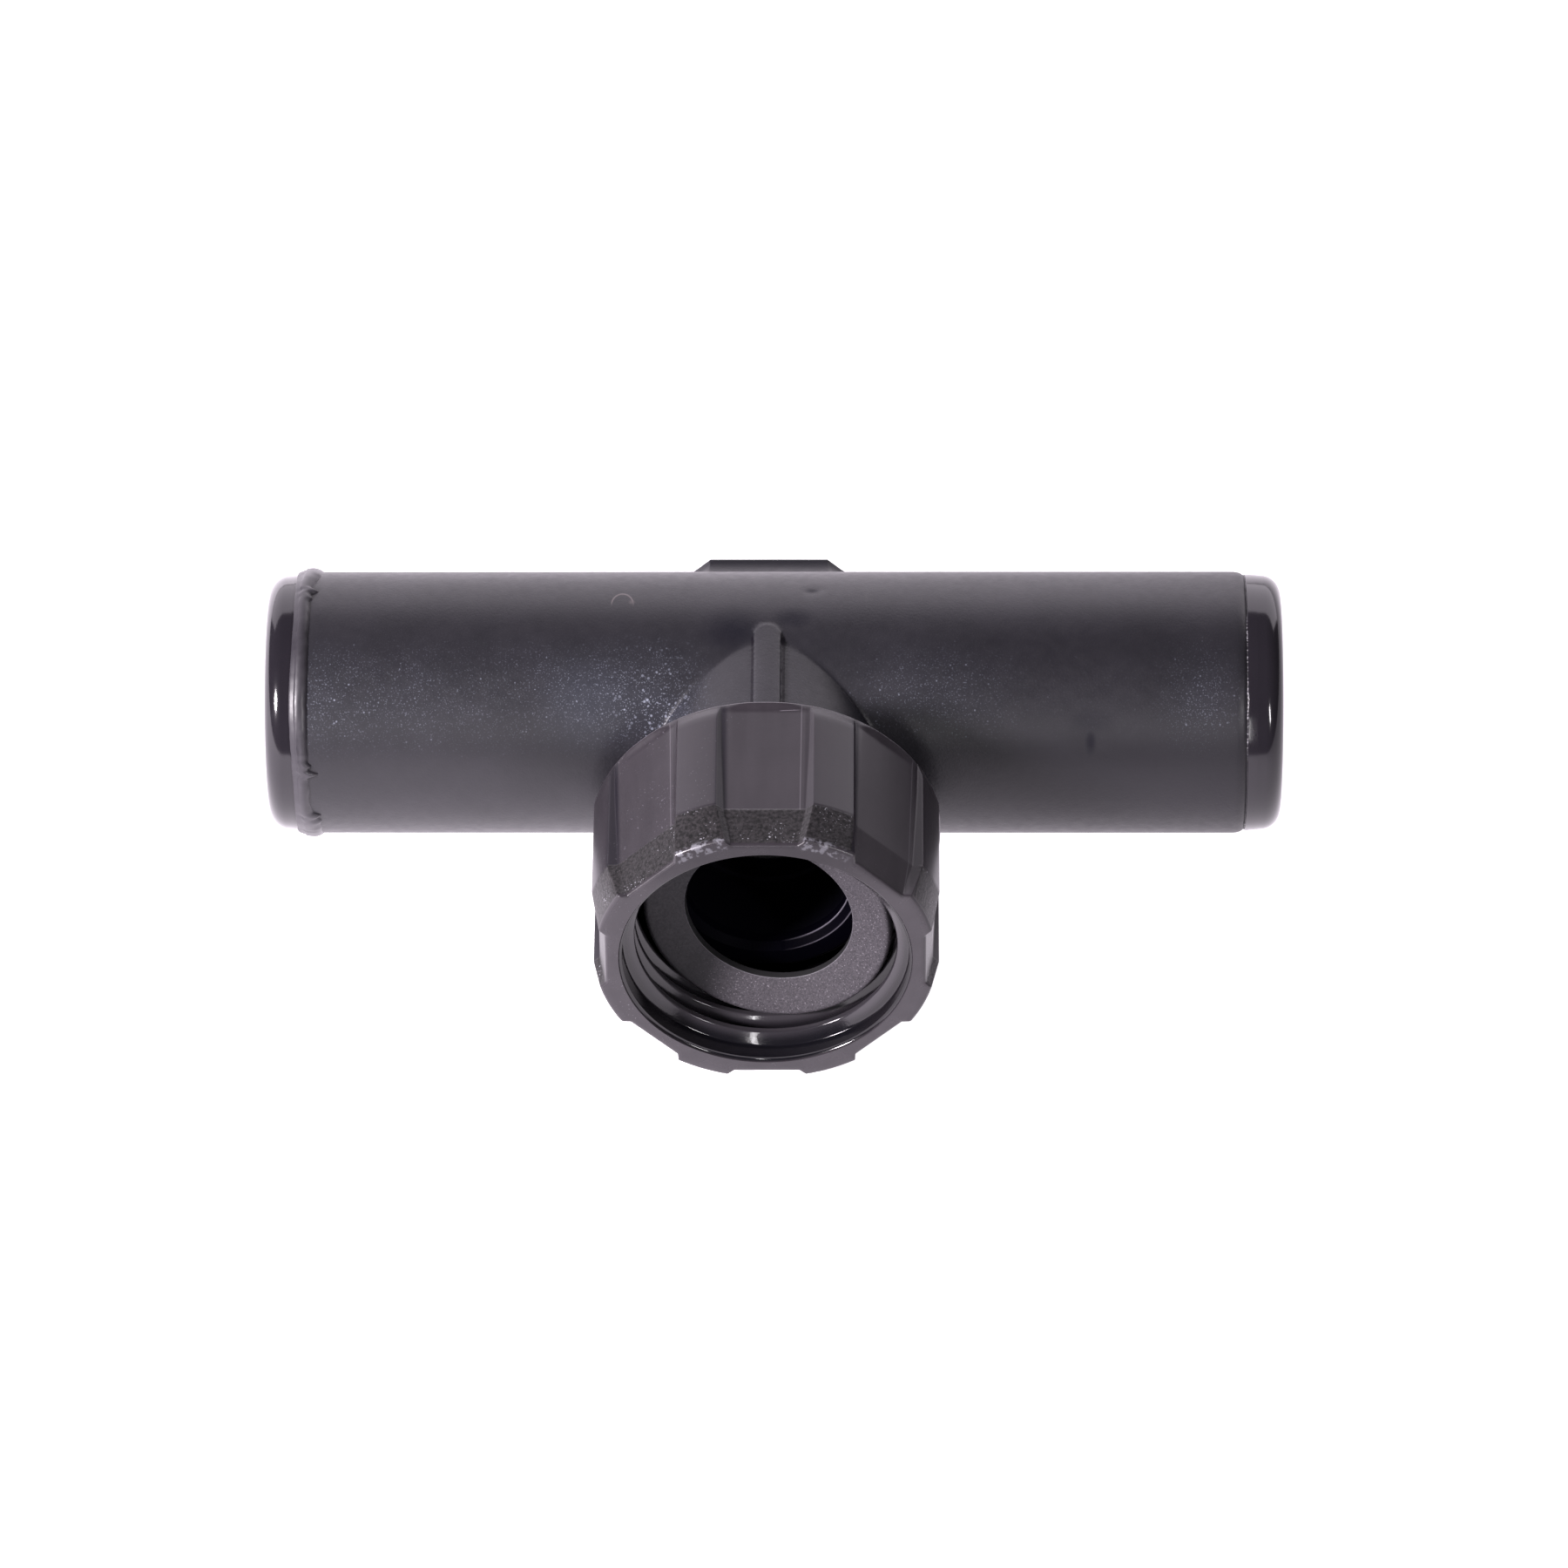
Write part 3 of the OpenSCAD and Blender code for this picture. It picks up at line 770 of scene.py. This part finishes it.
    # a nail-shaped scratch on the upper left
    dx = m.math("SUBTRACT", x, -0.0140)
    do = m.math("SUBTRACT", off, 0.00935)
    ring = m.math("SQRT", m.math("ADD", m.math("MULTIPLY", dx, dx), m.math("MULTIPLY", do, do)))
    nail = m.math("MULTIPLY", m.ramp(m.math("ABSOLUTE", m.math("SUBTRACT", ring, 0.00105)), 0.00012, 0.00001), m.ramp(do, -0.0002, 0.0004))
    nail = m.math("MAXIMUM", nail, m.math("MULTIPLY", spot(-0.0131, 0.0096, 0.00045, 0.0003), 0.5))
    nail = m.math("MULTIPLY", nail, m.ramp(slant, 0.0, 0.002))
    col = m.mix(m.math("MULTIPLY", nail, 0.30), col, grey(0.30, 0.25, 0.25))
    # painted shade: deep inside the passages the colour is near black
    run_in = m.ramp(m.math("SQRT", m.math("ADD", m.math("MULTIPLY", y, y), m.math("MULTIPLY", z, z))), 0.0110, 0.0098)
    br_in = m.math("MULTIPLY", m.ramp(m.math("SQRT", m.math("ADD", m.math("MULTIPLY", x, x), m.math("MULTIPLY", z, z))), 0.00925, 0.00865), m.ramp(y, -0.0126, -0.0136))
    spud_face = m.math("MULTIPLY", m.ramp(br_rad, 0.01125, 0.01105), m.ramp(y, -0.02520, -0.02532))
    passage_shade = m.math("MAXIMUM", m.math("MAXIMUM", run_in, br_in), spud_face)
    col = m.mix(passage_shade, col, grey(0.0014, 0.0012, 0.0030))
    # painted highlight: the spud's two lip edges are lighter on the lower right, where they catch the light
    outer_lip = m.math("MULTIPLY", m.ramp(m.math("ABSOLUTE", m.math("SUBTRACT", br_rad, 0.00876)), 0.00010, 0.0), m.ramp(y, -0.0252, -0.0253))
    inner_lip = m.math("MULTIPLY", m.ramp(m.math("ABSOLUTE", m.math("SUBTRACT", y, -0.02480)), 0.00010, 0.0), m.ramp(br_rad, 0.0083, 0.0082))
    lip_glint = m.math("MULTIPLY", m.math("ADD", m.math("MULTIPLY", outer_lip, 0.6), inner_lip), m.math("MULTIPLY", m.ramp(x, 0.0012, 0.0055), m.ramp(z, 0.001, -0.003)))
    col = m.mix(m.math("MULTIPLY", lip_glint, m.ramp(y, -0.0240, -0.0245), clamp=True), col, grey(0.16, 0.15, 0.18))
    m.link(col, m.bsdf.inputs["Base Color"])
    rough = m.math("ADD", 0.43, m.math("MULTIPLY", m.math("SUBTRACT", mid, 0.5), 0.14))
    m.link(m.math("ADD", rough, m.math("MULTIPLY", passage_shade, 0.05)), m.bsdf.inputs["Roughness"])
    shine = m.ramp(passage_shade, 0.0, 1.0, 0.5, 0.12)
    shine = m.math("MULTIPLY", shine, m.math("SUBTRACT", 1.0, m.math("MULTIPLY", right_shade, 0.40)))
    shine = m.math("MULTIPLY", shine, m.ramp(m.math("MULTIPLY", passage_shade, m.ramp(y, -0.0236, -0.0240)), 0.0, 1.0, 1.0, 0.10))
    shine = m.math("MULTIPLY", shine, m.math("SUBTRACT", 1.0, m.math("MAXIMUM", m.math("MAXIMUM", m.math("MULTIPLY", boss_shade, 0.74), m.math("MULTIPLY", rib_groove_shade, 0.45)), m.math("MULTIPLY", dent, 0.75))))
    m.link(m.math("MULTIPLY", shine, m.ramp(dull, 0.0, 1.0, 1.0, 0.68, smooth=False)), m.bsdf.inputs["Specular IOR Level"])
    m.bsdf.inputs["IOR"].default_value = 1.5
    n = m.bump(fine, 0.32, 0.00005)
    n = m.bump(m.noise(160, 2.0, 0.5), 0.10, 0.00012, n)
    m.link(n, m.bsdf.inputs["Normal"])
    return m.mat


def ring_material(name="ring_gloss_black", rough=0.10):
    """Polished black nylon, very slightly wavy."""
    m = Nodes(name)
    cloud = m.noise(180, 3.0, 0.5)
    scuff = m.ramp(m.noise(900, 2.0, 0.6, m.stretched(1, 0.2, 0.2)), 0.6, 0.8)
    col = m.mix(cloud, grey(0.0115, 0.0098, 0.0135), grey(0.0175, 0.0155, 0.020))
    m.link(col, m.bsdf.inputs["Base Color"])
    r = m.math("ADD", rough, m.math("ADD", m.math("MULTIPLY", cloud, 0.05), m.math("MULTIPLY", scuff, 0.10)))
    m.link(r, m.bsdf.inputs["Roughness"])
    m.bsdf.inputs["IOR"].default_value = 1.52
    m.link(m.bump(m.noise(120, 2.0, 0.4), 0.10, 0.0002), m.bsdf.inputs["Normal"])
    return m.mat


def flash_material(name="weld_flash_plastic", torn=False):
    """Molten and cooled plastic: shiny in the lumps, dull between them; torn flash has white stress marks."""
    m = Nodes(name)
    lump = m.noise(700, 3.0, 0.6)
    col = m.mix(lump, grey(0.024, 0.022, 0.027), grey(0.050, 0.047, 0.055))
    if torn:
        x, y, z = m.xyz()[0:3]
        off = m.math("ADD", m.math("MULTIPLY", z, 0.715), m.math("MULTIPLY", y, 0.70))
        where = m.math("MULTIPLY", m.ramp(off, -0.0062, -0.0035), m.ramp(off, 0.0084, 0.0066))
        dots = m.ramp(m.noise(4200, 2.0, 0.6), 0.48, 0.62)
        col = m.mix(lump, grey(0.012, 0.011, 0.014), grey(0.022, 0.020, 0.025))
        col = m.mix(m.math("MULTIPLY", where, m.math("MULTIPLY", dots, 0.7)), col, grey(0.48, 0.46, 0.50))
    m.link(col, m.bsdf.inputs["Base Color"])
    m.link(m.ramp(lump, 0.3, 0.7, 0.32, 0.44), m.bsdf.inputs["Roughness"])
    # the side towards the ring is sooty
    side = m.ramp(m.normal()[0], -0.30, -0.75)
    m.link(m.math("SUBTRACT", 0.5, m.math("MULTIPLY", side, 0.34)), m.bsdf.inputs["Specular IOR Level"])
    m.link(m.bump(lump, 0.25, 0.00007), m.bsdf.inputs["Normal"])
    return m.mat


def nut_material():
    """Semi-gloss warm charcoal; the front chamfers carry a coarse dark spark texture, darkened further as painted
    shade, with painted glints; several other marks are painted light and shade.
    """
    m = Nodes("nut_charcoal_plastic")
    x, y, z = m.xyz()[0:3]
    nx, ny, nz = m.normal()[0:3]
    rad = m.math("SQRT", m.math("ADD", m.math("MULTIPLY", x, x), m.math("MULTIPLY", z, z)))
    depth = m.math("MULTIPLY", y, -1.0)
    chamfer = m.math("MULTIPLY", m.math("MULTIPLY", m.ramp(depth, 0.03085, 0.03105), m.ramp(depth, 0.03492, 0.03472)), m.ramp(rad, 0.0143, 0.0149))
    chamfer = m.math("MULTIPLY", chamfer, m.ramp(m.math("MULTIPLY", ny, -1.0), 0.50, 0.34))
    # the dark chamfer colour is partly painted shade, so it is mostly left off the upper right flat, whose chamfer is
    # not in shade
    round_at = m.math("ARCTAN2", x, z)
    lit_flat = m.ramp(m.math("ABSOLUTE", m.math("SUBTRACT", round_at, math.radians(45))), math.radians(15.5), math.radians(14.6))
    chamfer = m.math("MULTIPLY", chamfer, m.math("SUBTRACT", 1.0, m.math("MULTIPLY", lit_flat, 0.93)))
    fine = m.noise(3000, 2.0, 0.6)
    cloud = m.noise(120, 3.0, 0.5)
    patch = m.noise(330, 2.0, 0.5)
    streak = m.noise(420, 3.0, 0.6, m.stretched(1, 0.12, 1))
    spark = m.noise(3300, 2.0, 0.65)
    lit = m.ramp(patch, 0.47, 0.62)
    glint = m.math("MULTIPLY", m.ramp(m.noise(5200, 1.0, 0.5), 0.665, 0.72), m.math("MULTIPLY", chamfer, lit))
    base = m.mix(m.ramp(m.math("ADD", m.math("MULTIPLY", cloud, 0.5), m.math("MULTIPLY", streak, 0.5)), 0.35, 0.65),
                 grey(0.0258, 0.0222, 0.0268), grey(0.034, 0.0295, 0.035))
    # a sprinkle of dust towards the left of the grip
    dust = m.math("MULTIPLY", m.ramp(m.noise(5000, 1.0, 0.5), 0.69, 0.75), m.ramp(x, 0.001, -0.010))
    base = m.mix(m.math("MULTIPLY", dust, m.math("MULTIPLY", lit, 0.55)), base, grey(0.30, 0.29, 0.33))
    # the ribs are a little darker; along one foot of every rib a painted shade, where the wall turns from the light,
    # and along the other a painted highlight
    turn = m.math("DIVIDE", m.math("ADD", round_at, math.pi + math.pi / 8), math.pi / 4)
    local = m.math("MULTIPLY", m.math("SUBTRACT", m.math("FRACT", turn), 0.5), 45.0)
    plain = m.math("MULTIPLY", m.math("MULTIPLY", m.ramp(rad, 0.0149, 0.0151), m.ramp(depth, 0.0349, 0.0347)), m.ramp(depth, 0.0171, 0.0178))
    ribs = m.math("MULTIPLY", m.ramp(m.math("ABSOLUTE", local), 12.6, 13.6), plain)
    base = m.mix(m.math("MULTIPLY", ribs, 0.30), base, grey(0.006, 0.005, 0.008))
    rib_foot_shade = m.math("MULTIPLY", m.ramp(m.math("ABSOLUTE", m.math("ADD", local, 14.4)), 2.6, 0.6), plain)
    base = m.mix(m.math("MULTIPLY", rib_foot_shade, 0.70), base, grey(0.005, 0.004, 0.009))
    rib_wall_highlight = m.math("MULTIPLY", m.ramp(m.math("ABSOLUTE", m.math("SUBTRACT", local, 11.85)), 0.28, 0.05), plain)
    base = m.mix(m.math("MULTIPLY", rib_wall_highlight, 0.22), base, grey(0.30, 0.28, 0.31))
    # a painted highlight along the back edge, and the middle flat has two hair scratches near it
    edge = m.math("MULTIPLY", m.ramp(depth, 0.01738, 0.01722), m.ramp(rad, 0.0163, 0.0165))
    base = m.mix(m.math("MULTIPLY", edge, 0.30), base, grey(0.30, 0.28, 0.31))
    hair = m.math("MULTIPLY", m.ramp(m.math("ABSOLUTE", m.math("SUBTRACT", m.math("ADD", depth, m.math("MULTIPLY", x, 0.05)), 0.01815)), 0.00006, 0.00001),
                  m.math("MULTIPLY", m.ramp(x, 0.0012, 0.0016), m.ramp(x, 0.0036, 0.0026)))
    base = m.mix(m.math("MULTIPLY", m.math("MULTIPLY", hair, m.ramp(z, 0.015, 0.0155)), 0.5), base, grey(0.30, 0.28, 0.31))
    # the chamfers' coarse spark texture; its darkness is partly painted shade
    dark = m.mix(m.ramp(spark, 0.3, 0.7), grey(0.006, 0.006, 0.006), grey(0.034, 0.031, 0.033))
    col = m.mix(chamfer, base, dark)
    # painted glints on the chamfers
    col = m.mix(m.math("MULTIPLY", glint, 0.8), col, grey(0.42, 0.42, 0.46))
    # painted glints: the lower ends of the upper ribs are lighter, where they catch the light
    rib_end_glints = m.math("MULTIPLY", m.math("MULTIPLY", m.ramp(depth, 0.0345, 0.0349), m.ramp(rad, 0.0150, 0.0152)), m.ramp(m.math("ABSOLUTE", local), 12.6, 13.8))
    rib_end_glints = m.math("MULTIPLY", rib_end_glints, m.math("MULTIPLY", m.ramp(x, 0.0085, 0.0065), m.ramp(z, 0.0105, 0.0125)))
    rib_end_glints = m.math("MULTIPLY", rib_end_glints, m.ramp(m.noise(1500, 2.0, 0.6), 0.47, 0.60))
    col = m.mix(m.math("MULTIPLY", rib_end_glints, 0.45), col, grey(0.34, 0.34, 0.38))
    # the face is duller at the top
    upper = m.math("MULTIPLY", m.math("MULTIPLY", m.ramp(m.math("MULTIPLY", ny, -1.0), 0.9, 0.98), m.ramp(depth, 0.0349, 0.0351)), m.ramp(z, 0.0080, 0.0135))
    col = m.mix(m.math("MULTIPLY", upper, 0.45), col, grey(0.008, 0.007, 0.009))
    # inside, the thread is polished: dark and sharp in its reflections, and its groove bottoms are darker still as
    # painted shade
    within = m.math("MULTIPLY", m.ramp(rad, 0.01405, 0.01392), m.ramp(depth, 0.03515, 0.03495))
    thread_groove_shade = m.ramp(rad, 0.01265, 0.01345)
    col = m.mix(within, col, m.mix(thread_groove_shade, grey(0.036, 0.033, 0.038), grey(0.009, 0.008, 0.010)))
    m.link(col, m.bsdf.inputs["Base Color"])
    # the bottom of the mouth lies in its own shade
    floor_of = m.math("MULTIPLY", m.math("MULTIPLY", within, m.ramp(depth, 0.0322, 0.0332)), m.ramp(z, -0.0085, -0.0115))
    col = m.mix(m.math("MULTIPLY", floor_of, 0.75), col, grey(0.004, 0.004, 0.006))
    m.link(col, m.bsdf.inputs["Base Color"])
    dim = m.math("MAXIMUM", m.math("MULTIPLY", ribs, 0.28), m.math("MAXIMUM", m.math("MULTIPLY", rib_foot_shade, 0.55), m.math("MULTIPLY", upper, 0.35)))
    m.link(m.math("MULTIPLY", m.math("SUBTRACT", 1.0, dim), 0.5), m.bsdf.inputs["Specular IOR Level"])
    rough = m.math("ADD", 0.33, m.math("MULTIPLY", m.math("SUBTRACT", streak, 0.5), 0.14))
    rough = m.math("ADD", rough, m.math("MULTIPLY", chamfer, 0.06))
    face = m.math("MULTIPLY", m.ramp(m.math("MULTIPLY", ny, -1.0), 0.9, 0.98), m.ramp(depth, 0.0349, 0.0351))
    rough = m.math("SUBTRACT", rough, m.math("MULTIPLY", face, 0.07))
    rough = m.math("SUBTRACT", rough, m.math("MULTIPLY", within, 0.22))
    m.link(rough, m.bsdf.inputs["Roughness"])
    m.bsdf.inputs["IOR"].default_value = 1.5
    n = m.bump(m.math("MULTIPLY", spark, chamfer), 0.6, 0.00006)
    n = m.bump(fine, 0.12, 0.00003, n)
    m.link(n, m.bsdf.inputs["Normal"])
    return m.mat


def washer_material():
    """Moulded rubber with pale dust and bloom, a painted shadow over its left part, and painted shade and a painted
    highlight in its hole.
    """
    m = Nodes("washer_grey_rubber")
    x, y, z = m.xyz()[0:3]
    fine = m.noise(4200, 3.0, 0.7)
    grain = m.noise(5600, 2.0, 0.6)
    cloud = m.noise(140, 3.0, 0.55)
    speck = m.ramp(m.noise(6800, 1.0, 0.5), 0.62, 0.74)
    # pale bloom over the right and lower part; the darker left part, without bloom, is also painted shadow from the
    # nut's mouth
    bloom_and_shadow = m.ramp(m.math("ADD", x, m.math("MULTIPLY", z, -0.55)), -0.0035, 0.0035)
    shaded_bare = m.mix(m.ramp(cloud, 0.3, 0.7), grey(0.0080, 0.0074, 0.0095), grey(0.0125, 0.0115, 0.0140))
    pale = m.mix(m.ramp(grain, 0.32, 0.68), grey(0.0255, 0.0228, 0.0272), grey(0.050, 0.0455, 0.0525))
    col = m.mix(bloom_and_shadow, shaded_bare, pale)
    col = m.mix(m.math("MULTIPLY", speck, m.math("ADD", m.math("MULTIPLY", bloom_and_shadow, 0.38), 0.03)), col, grey(0.30, 0.28, 0.31))
    # painted shade darkens the hole's wall, and a painted highlight lightens its rim
    ny = m.normal()[1]
    rad = m.math("SQRT", m.math("ADD", m.math("MULTIPLY", x, x), m.math("MULTIPLY", z, z)))
    near = m.ramp(rad, 0.0098, 0.0094)
    wall = m.math("MULTIPLY", m.ramp(m.math("MULTIPLY", ny, -1.0), 0.62, 0.42), near)
    hole_rim_highlight = m.math("MULTIPLY", m.ramp(m.math("ABSOLUTE", m.math("ADD", ny, 0.68)), 0.20, 0.03), near)
    col = m.mix(wall, col, grey(0.016, 0.016, 0.017))
    col = m.mix(m.math("MULTIPLY", hole_rim_highlight, 0.35), col, grey(0.26, 0.25, 0.28))
    m.link(col, m.bsdf.inputs["Base Color"])
    m.link(m.ramp(fine, 0.2, 0.8, 0.48, 0.7), m.bsdf.inputs["Roughness"])
    m.bsdf.inputs["Specular IOR Level"].default_value = 0.36
    m.link(m.bump(fine, 0.4, 0.00004), m.bsdf.inputs["Normal"])
    return m.mat


def floor_material():
    m = Nodes("pale_floor")
    paper = m.noise(60, 2.0, 0.5)
    m.link(m.mix(paper, grey(0.88, 0.875, 0.88), grey(0.9, 0.895, 0.9)), m.bsdf.inputs["Base Color"])
    m.bsdf.inputs["Roughness"].default_value = 0.9
    m.bsdf.inputs["Emission Color"].default_value = (1, 0.985, 1, 1)
    m.bsdf.inputs["Emission Strength"].default_value = 0.90
    return m.mat


def bounce_material():
    m = Nodes("floor_bounce")
    m.link(m.mix(m.noise(60, 2.0, 0.5), grey(0.84, 0.83, 0.84), grey(0.86, 0.85, 0.86)), m.bsdf.inputs["Base Color"])
    m.bsdf.inputs["Roughness"].default_value = 1.0
    m.bsdf.inputs["Emission Color"].default_value = (0.98, 0.90, 1, 1)
    # brighter on the side of the key light
    x, y, z = m.xyz()[0:3]
    m.link(m.ramp(x, -0.20, 0.20, 2.9, 0.82), m.bsdf.inputs["Emission Strength"])
    return m.mat


# ---- pieces -----------------------------------------------------------

body_mat = body_material()
ring_mat = ring_material()
flash_mat = flash_material()
nut_mat = nut_material()
washer_mat = washer_material()


def place(ob, body, mat, slot, *nodes):
    ob.data.materials.clear()
    ob.data.materials.append(mat)
    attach(ob, body)
    if nodes:
        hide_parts(*nodes)


place(build_tee_body(), "tee", body_mat, "body_plastic", "tee_body")
place(build_left_bead(), "tee", flash_mat, "body_plastic")
place(build_right_bead(), "tee", flash_material("torn_flash_plastic", True), "body_plastic")
place(build_ring("left_ring_moulding", -1), "tee", ring_mat, "ring_plastic", "left_compression_ring")
place(build_ring("right_ring_moulding", 1), "tee", ring_mat, "ring_plastic", "right_compression_ring")
place(build_nut(), "nut", nut_mat, "nut_plastic", "swivel_nut")
place(build_washer(), "washer", washer_mat, "washer_rubber", "hose_washer")

# ---- stage ------------------------------------------------------------

scene = bpy.context.scene
low = cad_lo.z
me = bpy.data.meshes.new("floor")
s = 3.0
me.from_pydata([(-s, -s, low), (s, -s, low), (s, s, low), (-s, s, low)], [], [(0, 1, 2, 3)])
floor = bpy.data.objects.new("floor", me)
scene.collection.objects.link(floor)
me.materials.append(floor_material())
floor.visible_diffuse = floor.visible_glossy = floor.visible_transmission = False
# the light that the floor sends back comes from a second sheet, which the camera doesn't see
me = bpy.data.meshes.new("floor_light")
me.from_pydata([(-s, -0.27, low), (s, -0.27, low), (s, s, low), (-s, s, low)], [], [(0, 1, 2, 3)])
bounce = bpy.data.objects.new("floor_light", me)
scene.collection.objects.link(bounce)
bounce.location.z = -0.0002
me.materials.append(bounce_material())
bounce.visible_camera = False
bounce.visible_shadow = False

world = bpy.data.worlds.new("studio")
scene.world = world
world.use_nodes = True
world.node_tree.nodes["Background"].inputs[0].default_value = (0.95, 0.88, 1.0, 1)
world.node_tree.nodes["Background"].inputs[1].default_value = 0.11


def area(name, loc, aim, size, power, colour=(1, 1, 1)):
    light = bpy.data.lights.new(name, "AREA")
    light.shape = "RECTANGLE"
    light.size, light.size_y = size
    light.energy = power
    light.color = colour
    ob = bpy.data.objects.new(name, light)
    scene.collection.objects.link(ob)
    d = np.array(aim, float) - np.array(loc, float)
    from mathutils import Vector
    ob.location = loc
    ob.rotation_mode = "QUATERNION"
    ob.rotation_quaternion = Vector(d).to_track_quat("-Z", "Y")
    return ob


area("key", (-0.95, -0.62, 0.62), (0, 0, 0), (0.24, 0.24), 36.0, (1.0, 0.93, 0.99))
area("back", (0.0, 1.25, 0.575), (0, 0, 0.1), (3.2, 1.15), 23.0, (0.98, 0.905, 1.0))
# two narrow lamps in front: hardly any light, but they glint in the polished thread
area("glint_right", (0.66, -0.80, 0.50), (0, -0.03, 0), (0.09, 0.28), 3.2, (1.0, 0.97, 1.0))
area("glint_middle", (0.035, -0.97, 0.34), (0, -0.03, 0), (0.025, 0.34), 1.0, (1.0, 0.97, 1.0))

# ---- camera -----------------------------------------------------------

elev, azim, roll, dist = math.radians(44.4), math.radians(0.75), math.radians(0.525), 1.0
right = np.array([math.cos(azim), math.sin(azim), 0.0])
level = np.array([-math.sin(azim), math.cos(azim), 0.0])
ahead = level * math.cos(elev) + np.array([0, 0, -math.sin(elev)])
up = level * math.sin(elev) + np.array([0, 0, math.cos(elev)])
where = -ahead * dist + right * 0.00144 - up * 0.007966
right, up = right * math.cos(roll) - up * math.sin(roll), up * math.cos(roll) + right * math.sin(roll)
cam = bpy.data.cameras.new("camera")
cam.sensor_width = 36.0
cam.lens = 18.0 / (900.0 / 11800.0)
cam.clip_start, cam.clip_end = 0.05, 20.0
cam_ob = bpy.data.objects.new("camera", cam)
scene.collection.objects.link(cam_ob)
m = Matrix.Identity(4)
for i in range(3):
    m[i][0], m[i][1], m[i][2], m[i][3] = right[i], up[i], -ahead[i], where[i]
cam_ob.matrix_world = m
scene.camera = cam_ob

scene.view_settings.view_transform = "Standard"
scene.view_settings.look = "None"
scene.view_settings.exposure = 0.0
scene.view_settings.gamma = 1.0
